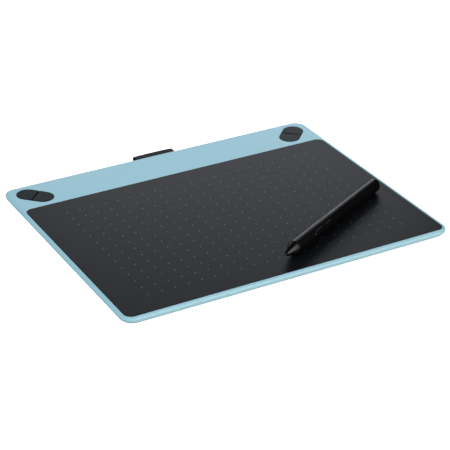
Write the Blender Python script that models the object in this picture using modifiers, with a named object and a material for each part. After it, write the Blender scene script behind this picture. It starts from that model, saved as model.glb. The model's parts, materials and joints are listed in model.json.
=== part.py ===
"""Pen drawing tablet with its pen, modelled as separate parts (metres, +Z up).

The tablet lies flat on its rubber feet, its drawing sheet up and its front edge towards -Y.
Parts of the tablet are placed in the case's own frame: the empty "case_frame", at the middle
of the case. Parts of the pen are placed in the frame of the empty "pen_frame": its origin is
the tip of the nib and its +Z runs along the pen to the tail.
"""
import math

import bmesh
import bpy
from mathutils import Matrix, Vector

# ------------------------------------------------------------------ driving dimensions
CASE_WIDTH = 0.275
CASE_DEPTH = 0.217
CASE_TOP_Z = 0.010
CASE_BASE_Z = 0.001
CASE_CORNER_RADIUS = 0.0095

WAIST_Z = 0.0084            # the case is widest at this height
UNDERCUT = 0.015            # how far the side curves in between the waist and the base
RIM_WIDTH = 0.003           # rounded rim round the drawing sheet
WALL = 0.0022
FIT_GAP = 0.0003            # clearance between two parts that touch

PARTING_Z = 0.0034
FLOOR_TOP_Z = 0.0026
DECK_UNDER_Z = 0.0082       # underside of the top case's deck

SHEET_DEPTH = 0.1761
SHEET_THICKNESS = 0.0005
SHEET_CORNER_RADIUS = 0.006

KEY_CENTRE_X = 0.1173       # middle of the pair of keys at each rear corner
KEY_CENTRE_Y = 0.0890
KEY_RADIUS = 0.0083
KEY_SPREAD = 0.0066         # from the pair's middle to the centre of each round end
KEY_SLIT = 0.0008
KEY_PROUD = 0.0003
KEY_ANGLE = math.radians(45)
KEY_POST_ACROSS = 0.0119    # the two screw posts stand this far to either side of the pair
KEY_SWITCH_ALONG = 0.0065
KEY_SWITCH_TOP_Z = 0.0065

LOOP_WIDTH = 0.0352
LOOP_OUT = 0.0106           # how far the ribbon loop stands out behind the case
LOOP_LOW_Z = 0.0037
LOOP_HIGH_Z = 0.0077
RIBBON_THICKNESS = 0.0008

COVER_HALF_WIDTH = 0.072    # sliding cover on the underside
COVER_FRONT_Y = 0.054
COVER_PLATE_TOP_Z = 0.0024
COVER_LIP_Y = 0.098

BAY_INNER_X = 0.026         # battery bay on the left, module bay on the right
BAY_OUTER_X = 0.066
BAY_FRONT_Y = 0.070
BAY_REAR_Y = 0.101
BAY_TOP_Z = 0.0070
BAY_WALL = 0.0012

BOARD_Z = 0.0040            # underside of the main board
BOARD_THICKNESS = 0.0008
KEY_BOARD_Z = 0.0051
KEY_BOARD_THICKNESS = 0.0005

USB_Y = 0.068
USB_WIDTH = 0.0075
USB_HEIGHT = 0.0026

TOUCH_SWITCH_X = 0.0805

PEN_LENGTH = 0.1366
PEN_CONE_START = 0.0022     # the nib stands this far out of the cone
PEN_CONE_END = 0.0128
PEN_CONE_TIP_RADIUS = 0.0016
PEN_CONE_STEP = 0.0002      # the cone's base is this much slimmer than the barrel
PEN_GRIP_RADIUS = 0.00573
PEN_GRIP_AT = 0.040
PEN_GRIP_WAIST = 0.0001     # how much the barrel slims from the grip down to the cone
PEN_TAIL_RADIUS = 0.00547
PEN_TAIL_AT = 0.1291        # the end cap's seam
PEN_TAIL_ROUND = 0.0016
PEN_TAIL_DOME = 0.0006
PEN_BORE = 0.0036
PEN_TIP_X = 0.00014
PEN_TIP_Y = -0.09219
PEN_HEADING = math.radians(27.33)
PEN_ROLL = math.radians(64)  # side switch, from straight up towards the front right
ROCKER_CENTRE = 0.0480
ROCKER_LENGTH = 0.026
ROCKER_WIDTH = 0.0046

CORNER_STEPS = 7
PART_COLLECTION = "pen_drawing_tablet"
CUTTER_COLLECTION = "cutters"

HALF_WIDTH = CASE_WIDTH / 2
HALF_DEPTH = CASE_DEPTH / 2
SHEET_FRONT_Y = RIM_WIDTH - HALF_DEPTH
SHEET_CENTRE_Y = SHEET_FRONT_Y + SHEET_DEPTH / 2

# Colour, roughness and metallic value of each finish.
FINISHES = {
    "blue_case": ((0.32, 0.55, 0.64), 0.42, 0.0),
    "dark_sheet": ((0.035, 0.036, 0.041), 0.62, 0.0),
    "dark_underside": ((0.030, 0.031, 0.034), 0.50, 0.0),
    "key_grey": ((0.045, 0.052, 0.055), 0.45, 0.0),
    "pen_black": ((0.010, 0.010, 0.011), 0.38, 0.0),
    "nib_black": ((0.020, 0.020, 0.020), 0.45, 0.0),
    "ribbon_black": ((0.009, 0.009, 0.011), 0.90, 0.0),
    "rubber": ((0.018, 0.018, 0.018), 0.80, 0.0),
    "circuit_board": ((0.020, 0.110, 0.050), 0.45, 0.0),
    "flex_film": ((0.330, 0.150, 0.030), 0.40, 0.0),
    "chip_black": ((0.012, 0.012, 0.013), 0.40, 0.0),
    "connector_plastic": ((0.500, 0.480, 0.420), 0.50, 0.0),
    "plated_steel": ((0.560, 0.560, 0.550), 0.30, 1.0),
    "screw_steel": ((0.080, 0.080, 0.085), 0.35, 1.0),
    "ferrite": ((0.060, 0.050, 0.050), 0.60, 0.0),
}


# ------------------------------------------------------------------ scene and materials
def clear_scene():
    for obj in list(bpy.data.objects):
        bpy.data.objects.remove(obj, do_unlink=True)
    for name in (PART_COLLECTION, CUTTER_COLLECTION):
        bpy.context.scene.collection.children.link(bpy.data.collections.new(name))


def finish_material(name):
    """The Principled material of one finish, made once."""
    material = bpy.data.materials.get(name)
    if material:
        return material
    colour, roughness, metallic = FINISHES[name]
    material = bpy.data.materials.new(name)
    material.use_nodes = True
    shader = material.node_tree.nodes["Principled BSDF"]
    shader.inputs["Base Color"].default_value = (*colour, 1.0)
    shader.inputs["Roughness"].default_value = roughness
    shader.inputs["Metallic"].default_value = metallic
    return material


def add_empty(name, matrix):
    empty = bpy.data.objects.new(name, None)
    bpy.context.scene.collection.objects.link(empty)
    empty.matrix_world = matrix
    return empty


def add_object(name, mesh, frame, finish=None):
    """Link a mesh under a frame: a part when it has a finish, and a hidden cutter when not."""
    obj = bpy.data.objects.new(name, mesh)
    obj.parent = frame
    if finish:
        bpy.data.collections[PART_COLLECTION].objects.link(obj)
        mesh.materials.append(finish_material(finish))
        return obj
    bpy.data.collections[CUTTER_COLLECTION].objects.link(obj)
    obj.hide_render = True
    obj.display_type = "WIRE"
    return obj


def shade_round(mesh, angle=35):
    mesh.shade_smooth()
    mesh.set_sharp_from_angle(angle=math.radians(angle))


# ------------------------------------------------------------------ shape helpers
def mesh_from(bm, name):
    mesh = bpy.data.meshes.new(name)
    bm.to_mesh(mesh)
    bm.free()
    return mesh


def box_mesh(name, low, high):
    low, high = Vector(low), Vector(high)
    bm = bmesh.new()
    bmesh.ops.create_cube(bm, size=1.0)
    bmesh.ops.scale(bm, vec=high - low, verts=bm.verts)
    bmesh.ops.translate(bm, vec=(low + high) / 2, verts=bm.verts)
    return mesh_from(bm, name)


def cylinder_mesh(name, radius, low, high, centre=(0.0, 0.0), segments=20):
    bm = bmesh.new()
    bmesh.ops.create_cone(bm, cap_ends=True, segments=segments, radius1=radius, radius2=radius,
                          depth=high - low)
    bmesh.ops.translate(bm, vec=(*centre, (low + high) / 2), verts=bm.verts)
    return mesh_from(bm, name)


def plate_mesh(name, outlines, low, high):
    """A flat plate between two heights; the outlines after the first are holes in it."""
    curve = bpy.data.curves.new(name, "CURVE")
    curve.dimensions = "2D"
    curve.fill_mode = "BOTH"
    curve.extrude = (high - low) / 2
    for outline in outlines:
        spline = curve.splines.new("POLY")
        spline.points.add(len(outline) - 1)
        for point, (x, y) in zip(spline.points, outline):
            point.co = (x, y, 0.0, 1.0)
        spline.use_cyclic_u = True
    holder = bpy.data.objects.new(name, curve)
    bpy.context.scene.collection.objects.link(holder)
    graph = bpy.context.evaluated_depsgraph_get()
    mesh = bpy.data.meshes.new_from_object(holder.evaluated_get(graph))
    bpy.data.objects.remove(holder)
    bpy.data.curves.remove(curve)
    bm = bmesh.new()
    bm.from_mesh(mesh)
    bmesh.ops.remove_doubles(bm, verts=bm.verts, dist=1e-6)
    bmesh.ops.translate(bm, vec=(0.0, 0.0, (low + high) / 2), verts=bm.verts)
    bmesh.ops.recalc_face_normals(bm, faces=bm.faces)
    bm.to_mesh(mesh)
    bm.free()
    return mesh


def arc(centre, radius, start, stop, steps):
    """Points along an arc, angles in degrees."""
    angles = [math.radians(start + (stop - start) * i / steps) for i in range(steps + 1)]
    return [(centre[0] + radius * math.cos(a), centre[1] + radius * math.sin(a)) for a in angles]


def rounded_outline(half_x, half_y, radius, centre=(0.0, 0.0), angle=0.0, steps=CORNER_STEPS):
    """A rounded rectangle, turned by an angle about its centre."""
    outline = []
    for quarter, (sign_x, sign_y) in enumerate(((1, 1), (-1, 1), (-1, -1), (1, -1))):
        middle = (sign_x * (half_x - radius), sign_y * (half_y - radius))
        for point in arc(middle, radius, 90 * quarter, 90 * quarter + 90, steps):
            if not outline or math.dist(point, outline[-1]) > 1e-6:
                outline.append(point)
    if math.dist(outline[0], outline[-1]) < 1e-6:
        outline.pop()
    return turned_points(outline, centre, angle)


def turned_points(points, centre, angle):
    cos, sin = math.cos(angle), math.sin(angle)
    return [(centre[0] + x * cos - y * sin, centre[1] + x * sin + y * cos) for x, y in points]


def loft_mesh(name, rings):
    """A closed solid through rings of equal point counts, each (points, z), lowest first."""
    bm = bmesh.new()
    loops = [[bm.verts.new((x, y, z)) for x, y in points] for points, z in rings]
    count = len(loops[0])
    for lower, upper in zip(loops, loops[1:]):
        for i in range(count):
            j = (i + 1) % count
            bm.faces.new((lower[i], lower[j], upper[j], upper[i]))
    bm.faces.new(reversed(loops[0]))
    bm.faces.new(loops[-1])
    return mesh_from(bm, name)


def add_turned(name, profile, frame, finish=None, steps=24):
    """A solid of revolution about Z; the profile of (radius, z) runs down its outer side."""
    bm = bmesh.new()
    verts = [bm.verts.new((radius, 0.0, z)) for radius, z in profile]
    closed = profile[0][0] > 0.0
    for first, second in zip(verts, verts[1:]):
        bm.edges.new((first, second))
    if closed:
        bm.edges.new((verts[-1], verts[0]))
    obj = add_object(name, mesh_from(bm, name), frame, finish)
    screw = obj.modifiers.new("turn", "SCREW")
    screw.steps = steps
    screw.render_steps = steps
    screw.use_merge_vertices = True
    screw.merge_threshold = 0.00001
    screw.use_smooth_shade = True
    return obj


def combine(target, other, operation="DIFFERENCE"):
    """Cut a part with another solid, or join or intersect the two."""
    modifier = target.modifiers.new(other.name, "BOOLEAN")
    modifier.object = other
    modifier.operation = operation
    return target


def soften(obj, width, segments=2, angle=40):
    """Round a part's edges sharper than an angle, in degrees."""
    bevel = obj.modifiers.new("bevel", "BEVEL")
    bevel.width = width
    bevel.segments = segments
    bevel.limit_method = "ANGLE"
    bevel.angle_limit = math.radians(angle)


# ------------------------------------------------------------------ form of the case
def side_inset(z):
    """How far the case's side stands in from its widest outline, at a height under the waist."""
    drop = (WAIST_Z - z) / (WAIST_Z - CASE_BASE_Z)
    return UNDERCUT * (1 - math.sqrt(max(0.0, 1 - drop * drop)))


def case_ring(inset, z, radius):
    return rounded_outline(HALF_WIDTH - inset, HALF_DEPTH - inset, radius), z


def side_rings(low, high, count, wall=0.0):
    """Rings up the case's side, following its curve at a distance of wall inside it."""
    rings = []
    for i in range(count + 1):
        z = low + (high - low) * i / count
        inset = side_inset(z)
        rings.append(case_ring(inset + wall, z, CASE_CORNER_RADIUS - 0.3 * inset - wall))
    return rings


def rim_rings(count):
    """Rings over the rounded rim, from the waist to the edge of the drawing sheet."""
    rings = []
    for i in range(1, count + 1):
        turn = math.radians(90) * i / count
        inset = RIM_WIDTH * (1 - math.cos(turn))
        z = WAIST_Z + (CASE_TOP_Z - WAIST_Z) * math.sin(turn)
        rings.append(case_ring(inset, z, CASE_CORNER_RADIUS - inset))
    return rings


def pan_form(name, frame, finish=None):
    """The curved lower shape that the bottom case and its cover share."""
    rings = side_rings(CASE_BASE_Z, PARTING_Z - FIT_GAP / 2, 6)
    return add_object(name, loft_mesh(name, rings), frame, finish)


# ------------------------------------------------------------------ places that repeat
def screw_places():
    """Names and centres of the case screws."""
    places = {}
    for side, sign in (("left", -1), ("right", 1)):
        places[f"{side}_front"] = (sign * 0.1263, -0.0970)
        places[f"{side}_middle"] = (sign * 0.1263, -0.0250)
        places[f"{side}_back"] = (sign * 0.1263, 0.0470)
        places[f"{side}_rear"] = (sign * 0.0900, 0.0990)
    return places


def foot_places():
    places = {}
    for side, sign in (("left", -1), ("right", 1)):
        places[f"{side}_front"] = (sign * 0.1060, -0.0860)
        places[f"{side}_rear"] = (sign * 0.1060, 0.0860)
    return places


def key_sides():
    """Each pair of keys: its side, its centre and the direction from its middle to the rear."""
    return (("left", (-KEY_CENTRE_X, KEY_CENTRE_Y), math.radians(180) - KEY_ANGLE),
            ("right", (KEY_CENTRE_X, KEY_CENTRE_Y), KEY_ANGLE))


def beside_pair(centre, angle, along, across):
    """A point given along and across a pair of keys."""
    return turned_points([(along, across)], centre, angle)[0]


# ------------------------------------------------------------------ the two cases
def build_top_case(frame):
    rings = side_rings(PARTING_Z + FIT_GAP / 2, WAIST_Z, 7) + rim_rings(6)
    case = add_object("top_case", loft_mesh("top_case", rings), frame, "blue_case")
    shade_round(case.data)
    hollow = side_rings(PARTING_Z - FIT_GAP, DECK_UNDER_Z, 5, wall=WALL)
    combine(case, add_object("case_hollow", loft_mesh("case_hollow", hollow), frame))
    sheet_seat = rounded_outline(HALF_WIDTH - RIM_WIDTH + FIT_GAP, SHEET_DEPTH / 2 + FIT_GAP,
                                 SHEET_CORNER_RADIUS + FIT_GAP, (0.0, SHEET_CENTRE_Y))
    seat_z = CASE_TOP_Z - SHEET_THICKNESS - FIT_GAP
    combine(case, add_object("sheet_seat", plate_mesh("sheet_seat", [sheet_seat], seat_z,
                                                      CASE_TOP_Z + 0.001), frame))
    for side, centre, angle in key_sides():
        opening = rounded_outline(KEY_SPREAD + KEY_RADIUS + FIT_GAP, KEY_RADIUS + FIT_GAP,
                                  KEY_RADIUS + FIT_GAP, centre, angle)
        name = f"key_opening_{side}"
        combine(case, add_object(name, plate_mesh(name, [opening], DECK_UNDER_Z - 0.001,
                                                  CASE_TOP_Z + 0.001), frame))
        add_key_board_posts(case, side, centre, angle, frame)
    add_screw_bosses(case, frame)
    for name, low, high in rear_and_side_openings():
        combine(case, add_object(name, box_mesh(name, low, high), frame))
    return case


def add_screw_bosses(case, frame):
    """Bosses under the deck, each with a blind hole for a case screw."""
    for name, centre in screw_places().items():
        boss = cylinder_mesh(f"boss_{name}", 0.0028, 0.0042, DECK_UNDER_Z + 0.0004, centre)
        combine(case, add_object(f"boss_{name}", boss, frame), "UNION")
        hole = cylinder_mesh(f"boss_hole_{name}", 0.0011, 0.0038, 0.0076, centre, 12)
        combine(case, add_object(f"boss_hole_{name}", hole, frame))


def add_key_board_posts(case, side, centre, angle, frame):
    """Two posts under the deck that each key board is screwed to."""
    for number, across in enumerate((-KEY_POST_ACROSS, KEY_POST_ACROSS), 1):
        place = beside_pair(centre, angle, 0.0, across)
        name = f"key_post_{side}_{number}"
        low = KEY_BOARD_Z + KEY_BOARD_THICKNESS + FIT_GAP
        post = cylinder_mesh(name, 0.0018, low, DECK_UNDER_Z + 0.0004, place, 16)
        combine(case, add_object(name, post, frame), "UNION")
        hole = cylinder_mesh(f"{name}_hole", 0.0009, low - 0.0005, 0.0079, place, 10)
        combine(case, add_object(f"{name}_hole", hole, frame))


def rear_and_side_openings():
    """Boxes cut through the top case's walls: ribbon slot, socket opening and switch slot."""
    slot = LOOP_WIDTH / 2 + 0.0004
    socket = USB_WIDTH / 2 + 0.0004
    return (
        ("ribbon_slot", (-slot, 0.1000, PARTING_Z - 0.001), (slot, 0.1120, LOOP_HIGH_Z + 0.0003)),
        ("socket_opening", (0.1310, USB_Y - socket, 0.0048), (0.1400, USB_Y + socket, 0.0080)),
        ("switch_slot", (TOUCH_SWITCH_X - 0.0020, 0.1015, 0.0053),
         (TOUCH_SWITCH_X + 0.0050, 0.1120, 0.0071)),
    )


def build_bottom_case(frame):
    case = pan_form("bottom_case", frame, "dark_underside")
    shade_round(case.data)
    inner = [case_ring(0.0120, FLOOR_TOP_Z, 0.005), case_ring(0.0088, PARTING_Z + 0.0002, 0.006)]
    combine(case, add_object("pan_hollow", loft_mesh("pan_hollow", inner), frame))
    add_cover_bed(case, frame)
    for name, centre in screw_places().items():
        pillar = cylinder_mesh(f"pillar_{name}", 0.0028, 0.0022, 0.0039, centre)
        combine(case, add_object(f"pillar_{name}", pillar, frame), "UNION")
        pocket = cylinder_mesh(f"pocket_{name}", 0.0024, -0.0010, 0.0023, centre)
        combine(case, add_object(f"pocket_{name}", pocket, frame))
        hole = cylinder_mesh(f"pillar_hole_{name}", 0.0011, 0.0010, 0.0045, centre, 12)
        combine(case, add_object(f"pillar_hole_{name}", hole, frame))
    for name, centre in foot_places().items():
        seat = rounded_outline(0.0113, 0.0048, 0.0048, centre)
        combine(case, add_object(f"foot_seat_{name}", plate_mesh(f"foot_seat_{name}", [seat],
                                                                 0.0, 0.0018), frame))
    for number, centre in enumerate(((0.0820, 0.0680), (0.0820, 0.0900), (0.1180, 0.0680)), 1):
        post = cylinder_mesh(f"board_post_{number}", 0.0020, 0.0020, BOARD_Z - FIT_GAP, centre, 16)
        combine(case, add_object(f"board_post_{number}", post, frame), "UNION")
    return case


def add_cover_bed(case, frame):
    """The raised floor over the sliding cover, with the two bays and the nib store."""
    bed_x = COVER_HALF_WIDTH + 0.003
    bed_rear = COVER_LIP_Y - FIT_GAP
    combine(case, add_object("cover_bed", box_mesh("cover_bed",
                             (-bed_x, COVER_FRONT_Y - 0.003, 0.0015),
                             (bed_x, bed_rear, 0.0037)), frame), "UNION")
    room_x = COVER_HALF_WIDTH + FIT_GAP
    room_front = COVER_FRONT_Y - FIT_GAP
    combine(case, add_object("cover_room", box_mesh("cover_room", (-room_x, room_front, -0.001),
                             (room_x, 0.112, COVER_PLATE_TOP_Z + FIT_GAP)), frame))
    combine(case, add_object("lip_room", box_mesh("lip_room", (-room_x, bed_rear, -0.001),
                             (room_x, 0.112, 0.0034)), frame))
    for side, sign in (("left", -1), ("right", 1)):
        xs = sorted((sign * (BAY_INNER_X - BAY_WALL), sign * (BAY_OUTER_X + BAY_WALL)))
        combine(case, add_object(f"bay_{side}", box_mesh(f"bay_{side}",
                                 (xs[0], BAY_FRONT_Y - BAY_WALL, 0.0034),
                                 (xs[1], BAY_REAR_Y + BAY_WALL, BAY_TOP_Z + 0.0008)),
                                 frame), "UNION")
        xs = sorted((sign * BAY_INNER_X, sign * BAY_OUTER_X))
        combine(case, add_object(f"bay_hollow_{side}", box_mesh(f"bay_hollow_{side}",
                                 (xs[0], BAY_FRONT_Y, -0.001), (xs[1], BAY_REAR_Y, BAY_TOP_Z)),
                                 frame))
    combine(case, add_object("nib_store", box_mesh("nib_store", (-0.0140, 0.0600, 0.0034),
                             (0.0140, 0.0800, 0.0060)), frame), "UNION")
    combine(case, add_object("nib_store_hollow", box_mesh("nib_store_hollow",
                             (-0.0128, 0.0612, -0.001), (0.0128, 0.0788, 0.0052)), frame))


def build_cover(frame):
    """The cover that slides off to the rear, with the lower rear edge of the case on it."""
    cover = pan_form("accessory_cover", frame, "dark_underside")
    shade_round(cover.data)
    combine(cover, add_object("cover_outline", box_mesh("cover_outline",
                              (-COVER_HALF_WIDTH, COVER_FRONT_Y, -0.001),
                              (COVER_HALF_WIDTH, 0.112, 0.0031)), frame), "INTERSECT")
    combine(cover, add_object("cover_inside", box_mesh("cover_inside",
                              (-COVER_HALF_WIDTH - 0.001, COVER_FRONT_Y - 0.001,
                               COVER_PLATE_TOP_Z),
                              (COVER_HALF_WIDTH + 0.001, COVER_LIP_Y, 0.0050)), frame))
    for number in range(4):
        y = COVER_FRONT_Y + 0.006 + number * 0.0022
        groove = box_mesh(f"grip_groove_{number}", (-0.008, y, 0.0), (0.008, y + 0.0011, 0.0014))
        combine(cover, add_object(f"grip_groove_{number}", groove, frame))
    return cover


# ------------------------------------------------------------------ flat parts and boards
def build_sheet(frame):
    outline = rounded_outline(HALF_WIDTH - RIM_WIDTH, SHEET_DEPTH / 2, SHEET_CORNER_RADIUS,
                              (0.0, SHEET_CENTRE_Y))
    mesh = plate_mesh("drawing_sheet", [outline], CASE_TOP_Z - SHEET_THICKNESS, CASE_TOP_Z)
    add_object("drawing_sheet", mesh, frame, "dark_sheet")


def build_sensor_layers(frame):
    """The sensor board and the steel shield behind it, under the drawing sheet."""
    layers = (("sensor_board", 0.0071, 0.0079, 0.1200, "circuit_board"),
              ("shield_plate", 0.0063, 0.0068, 0.1180, "plated_steel"))
    for name, low, high, half_x, finish in layers:
        outline = rounded_outline(half_x, 0.0820, 0.002, (0.0, -0.0160), steps=3)
        add_object(name, plate_mesh(name, [outline], low, high), frame, finish)


def build_main_board(frame):
    """The main board, with a hole that clears a screw of the right key board, and its chips."""
    top = BOARD_Z + BOARD_THICKNESS
    outline = rounded_outline(0.02675, 0.0150, 0.0015, (0.10475, 0.0790), steps=3)
    screw = beside_pair((KEY_CENTRE_X, KEY_CENTRE_Y), KEY_ANGLE, 0.0, -KEY_POST_ACROSS)
    hole = arc(screw, 0.0022, 0, 330, 11)
    add_object("main_board", plate_mesh("main_board", [outline, hole], BOARD_Z, top), frame,
               "circuit_board")
    pieces = (("processor_chip", (0.0830, 0.0800), (0.0045, 0.0045), 0.0010, "chip_black"),
              ("power_chip", (0.0950, 0.0810), (0.0025, 0.0020), 0.0009, "chip_black"),
              ("sensor_connector", (0.0900, 0.0690), (0.0085, 0.0020), 0.0010,
               "connector_plastic"))
    for name, (x, y), (half_x, half_y), height, finish in pieces:
        low = (x - half_x, y - half_y, top + FIT_GAP)
        high = (x + half_x, y + half_y, top + FIT_GAP + height)
        add_object(name, box_mesh(name, low, high), frame, finish)


def build_key_cable(frame):
    """Flat film cable from the left key board, in front of the bays, to the main board."""
    outline = [(-0.1200, 0.0840), (-0.1200, 0.0560), (0.0880, 0.0560), (0.0880, 0.0655),
               (0.0845, 0.0655), (0.0845, 0.0595), (-0.1165, 0.0595), (-0.1165, 0.0840)]
    mesh = plate_mesh("left_key_cable", [outline], 0.0060 - 0.00015, 0.0060)
    add_object("left_key_cable", mesh, frame, "flex_film")


def build_key_board(side, centre, angle, frame):
    """A key board with a switch under each key and two small screws."""
    outline = rounded_outline(0.0095, 0.0145, 0.0070, centre, angle, steps=4)
    holes = [arc(beside_pair(centre, angle, 0.0, across), 0.0011, 0, 330, 11)
             for across in (-KEY_POST_ACROSS, KEY_POST_ACROSS)]
    top = KEY_BOARD_Z + KEY_BOARD_THICKNESS
    mesh = plate_mesh(f"key_board_{side}", [outline, *holes], KEY_BOARD_Z, top)
    add_object(f"key_board_{side}", mesh, frame, "circuit_board")
    for end, sign in (("rear", 1), ("front", -1)):
        place = beside_pair(centre, angle, sign * KEY_SWITCH_ALONG, 0.0)
        name = f"key_switch_{side}_{end}"
        mesh = cylinder_mesh(name, 0.0022, top + FIT_GAP, KEY_SWITCH_TOP_Z, place, 16)
        add_object(name, mesh, frame, "plated_steel")
    for number, across in enumerate((-KEY_POST_ACROSS, KEY_POST_ACROSS), 1):
        build_screw(f"key_board_screw_{side}_{number}",
                    beside_pair(centre, angle, 0.0, across), frame,
                    head=(0.0016, KEY_BOARD_Z - 0.0009, KEY_BOARD_Z - FIT_GAP),
                    shank=(0.0006, 0.0075), steps=12)


def build_socket(frame):
    """The small socket for the data cable: a plated shell round a plastic tongue."""
    depth_low, depth_high = 0.1300, 0.1358
    middle_z = BOARD_Z + BOARD_THICKNESS + FIT_GAP + USB_HEIGHT / 2
    turn = Matrix.Translation((0.0, USB_Y, middle_z)) @ Matrix.Rotation(math.radians(90), 4, "Z") \
        @ Matrix.Rotation(math.radians(90), 4, "X")
    outer = socket_outline(USB_WIDTH / 2, USB_HEIGHT / 2, 0.0008)
    wall = 0.00035
    inner = socket_outline(USB_WIDTH / 2 - wall, USB_HEIGHT / 2 - wall, 0.0007)
    mesh = plate_mesh("usb_shell", [outer, inner], depth_low, depth_high)
    mesh.transform(turn)
    add_object("usb_shell", mesh, frame, "plated_steel")
    base = box_mesh("usb_tongue", (0.1302, USB_Y - 0.0028, middle_z - 0.00060),
                    (0.1316, USB_Y + 0.0028, middle_z + 0.00060))
    tongue = add_object("usb_tongue", base, frame, "chip_black")
    blade = box_mesh("usb_blade", (0.1310, USB_Y - 0.0018, middle_z - 0.0001),
                     (0.1350, USB_Y + 0.0018, middle_z + 0.0004))
    combine(tongue, add_object("usb_blade", blade, frame), "UNION")


def socket_outline(half_width, half_height, cut):
    """A flat opening whose two lower corners are cut off."""
    return [(half_width, half_height), (-half_width, half_height),
            (-half_width, -half_height + cut), (-half_width + cut, -half_height),
            (half_width - cut, -half_height), (half_width, -half_height + cut)]


def build_bay_contacts(frame):
    """The battery contacts and the radio module's connector, at the outer end of each bay."""
    for name, sign, half_y in (("battery_contacts", -1, 0.0080), ("module_connector", 1, 0.0060)):
        xs = sorted((sign * (BAY_OUTER_X - 0.0003), sign * (BAY_OUTER_X - 0.0033)))
        block = add_object(name, box_mesh(name, (xs[0], 0.0860 - half_y, 0.0036),
                                          (xs[1], 0.0860 + half_y, BAY_TOP_Z - FIT_GAP)),
                           frame, "chip_black")
        for number in (-1, 0, 1):
            y = 0.0860 + number * 0.0035
            blade_xs = sorted((sign * (BAY_OUTER_X - 0.0030), sign * (BAY_OUTER_X - 0.0041)))
            blade = box_mesh(f"{name}_blade_{number}", (blade_xs[0], y - 0.0006, 0.0042),
                             (blade_xs[1], y + 0.0006, 0.0062))
            combine(block, add_object(f"{name}_blade_{number}", blade, frame), "UNION")


def build_spares(frame):
    """Three spare nibs and the ring that pulls a worn nib out, in their store."""
    for number in range(3):
        y = 0.0640 + number * 0.0030
        frame_matrix = Matrix.Translation((-0.0105, y, 0.0039)) \
            @ Matrix.Rotation(math.radians(90), 4, "Y")
        mesh = cylinder_mesh(f"spare_nib_{number + 1}", 0.00075, 0.0, 0.0075, segments=10)
        mesh.transform(frame_matrix)
        add_object(f"spare_nib_{number + 1}", mesh, frame, "nib_black")
    ring = [arc((0.0060, 0.0710), 0.0045, 0, 345, 23), arc((0.0060, 0.0710), 0.0030, 0, 345, 23)]
    add_object("nib_ring", plate_mesh("nib_ring", ring, 0.0031, 0.0047), frame, "plated_steel")


# ------------------------------------------------------------------ fasteners and feet
def build_screw(name, centre, frame, head, shank, steps=16):
    """A screw with its head down: head is (radius, low, high), shank is (radius, high)."""
    head_radius, low, high = head
    shank_radius, tip = shank
    profile = [(0.0, tip), (shank_radius, tip - 0.0004), (shank_radius, high),
               (head_radius, high), (head_radius, low), (0.0, low)]
    screw = add_turned(name, profile, frame, "screw_steel", steps)
    screw.location = (*centre, 0.0)
    return screw


def build_case_screws(frame):
    for name, centre in screw_places().items():
        screw = build_screw(f"case_screw_{name}", centre, frame,
                            head=(0.0020, 0.0014, 0.0020), shank=(0.00075, 0.0072))
        for slot, (half_x, half_y) in enumerate(((0.0011, 0.00025), (0.00025, 0.0011))):
            cutter_name = f"cross_slot_{name}_{slot}"
            cutter = box_mesh(cutter_name, (centre[0] - half_x, centre[1] - half_y, 0.0010),
                              (centre[0] + half_x, centre[1] + half_y, 0.0017))
            combine(screw, add_object(cutter_name, cutter, frame))


def build_feet(frame):
    for name, centre in foot_places().items():
        outline = rounded_outline(0.0110, 0.0045, 0.0045, centre)
        foot = add_object(f"rubber_foot_{name}", plate_mesh(f"rubber_foot_{name}", [outline],
                                                            0.0, 0.0015), frame, "rubber")
        shade_round(foot.data)


# ------------------------------------------------------------------ keys, switch and loop
def half_capsule(radius, spread, flat):
    """One end of a capsule: a half circle about (spread, 0), cut straight at x = flat."""
    return arc((spread, 0.0), radius, -90, 90, 2 * CORNER_STEPS) + [(flat, radius),
                                                                   (flat, -radius)]


def build_key(side, end, centre, angle, frame):
    """A key with a flange under the deck, which keeps it in, and a stub over its switch."""
    name = f"key_{side}_{end}"
    flat = KEY_SLIT / 2
    cap = turned_points(half_capsule(KEY_RADIUS, KEY_SPREAD, flat), centre, angle)
    key = add_object(name, plate_mesh(name, [cap], 0.0076, CASE_TOP_Z + KEY_PROUD), frame,
                     "key_grey")
    shade_round(key.data)
    soften(key, 0.0004)
    flange = turned_points(half_capsule(KEY_RADIUS + 0.0010, KEY_SPREAD, flat + 0.0005),
                           centre, angle)
    combine(key, add_object(f"{name}_flange", plate_mesh(f"{name}_flange", [flange], 0.0073,
                                                         0.0079), frame), "UNION")
    place = beside_pair(centre, angle, KEY_SWITCH_ALONG, 0.0)
    stub = cylinder_mesh(f"{name}_stub", 0.0014, 0.0071, 0.0078, place, 12)
    combine(key, add_object(f"{name}_stub", stub, frame), "UNION")


def build_touch_switch(frame):
    """The slide switch at the rear edge that turns finger touch on and off."""
    x = TOUCH_SWITCH_X
    add_object("touch_switch_body", box_mesh("touch_switch_body", (x - 0.0030, 0.0925, 0.0051),
                                             (x + 0.0060, 0.0965, 0.0073)), frame, "plated_steel")
    knob = add_object("touch_switch_knob", box_mesh("touch_switch_knob",
                      (x - 0.0015, 0.0968, 0.0056), (x + 0.0015, 0.1083, 0.0068)), frame,
                      "key_grey")
    soften(knob, 0.0002, segments=1)


def build_loop(frame):
    """The pen loop: a doubled ribbon that ends in a bar inside the case."""
    mesh = plate_mesh("pen_loop", loop_outlines(), -LOOP_WIDTH / 2, LOOP_WIDTH / 2)
    mesh.transform(Matrix.Rotation(math.radians(90), 4, "Z")
                   @ Matrix.Rotation(math.radians(90), 4, "X"))
    loop = add_object("pen_loop", mesh, frame, "ribbon_black")
    shade_round(loop.data)
    half = LOOP_WIDTH / 2 + 0.0012
    add_object("loop_anchor", box_mesh("loop_anchor", (-half, 0.0840, 0.0046),
                                       (half, 0.0867, 0.0068)), frame, "chip_black")


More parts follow.
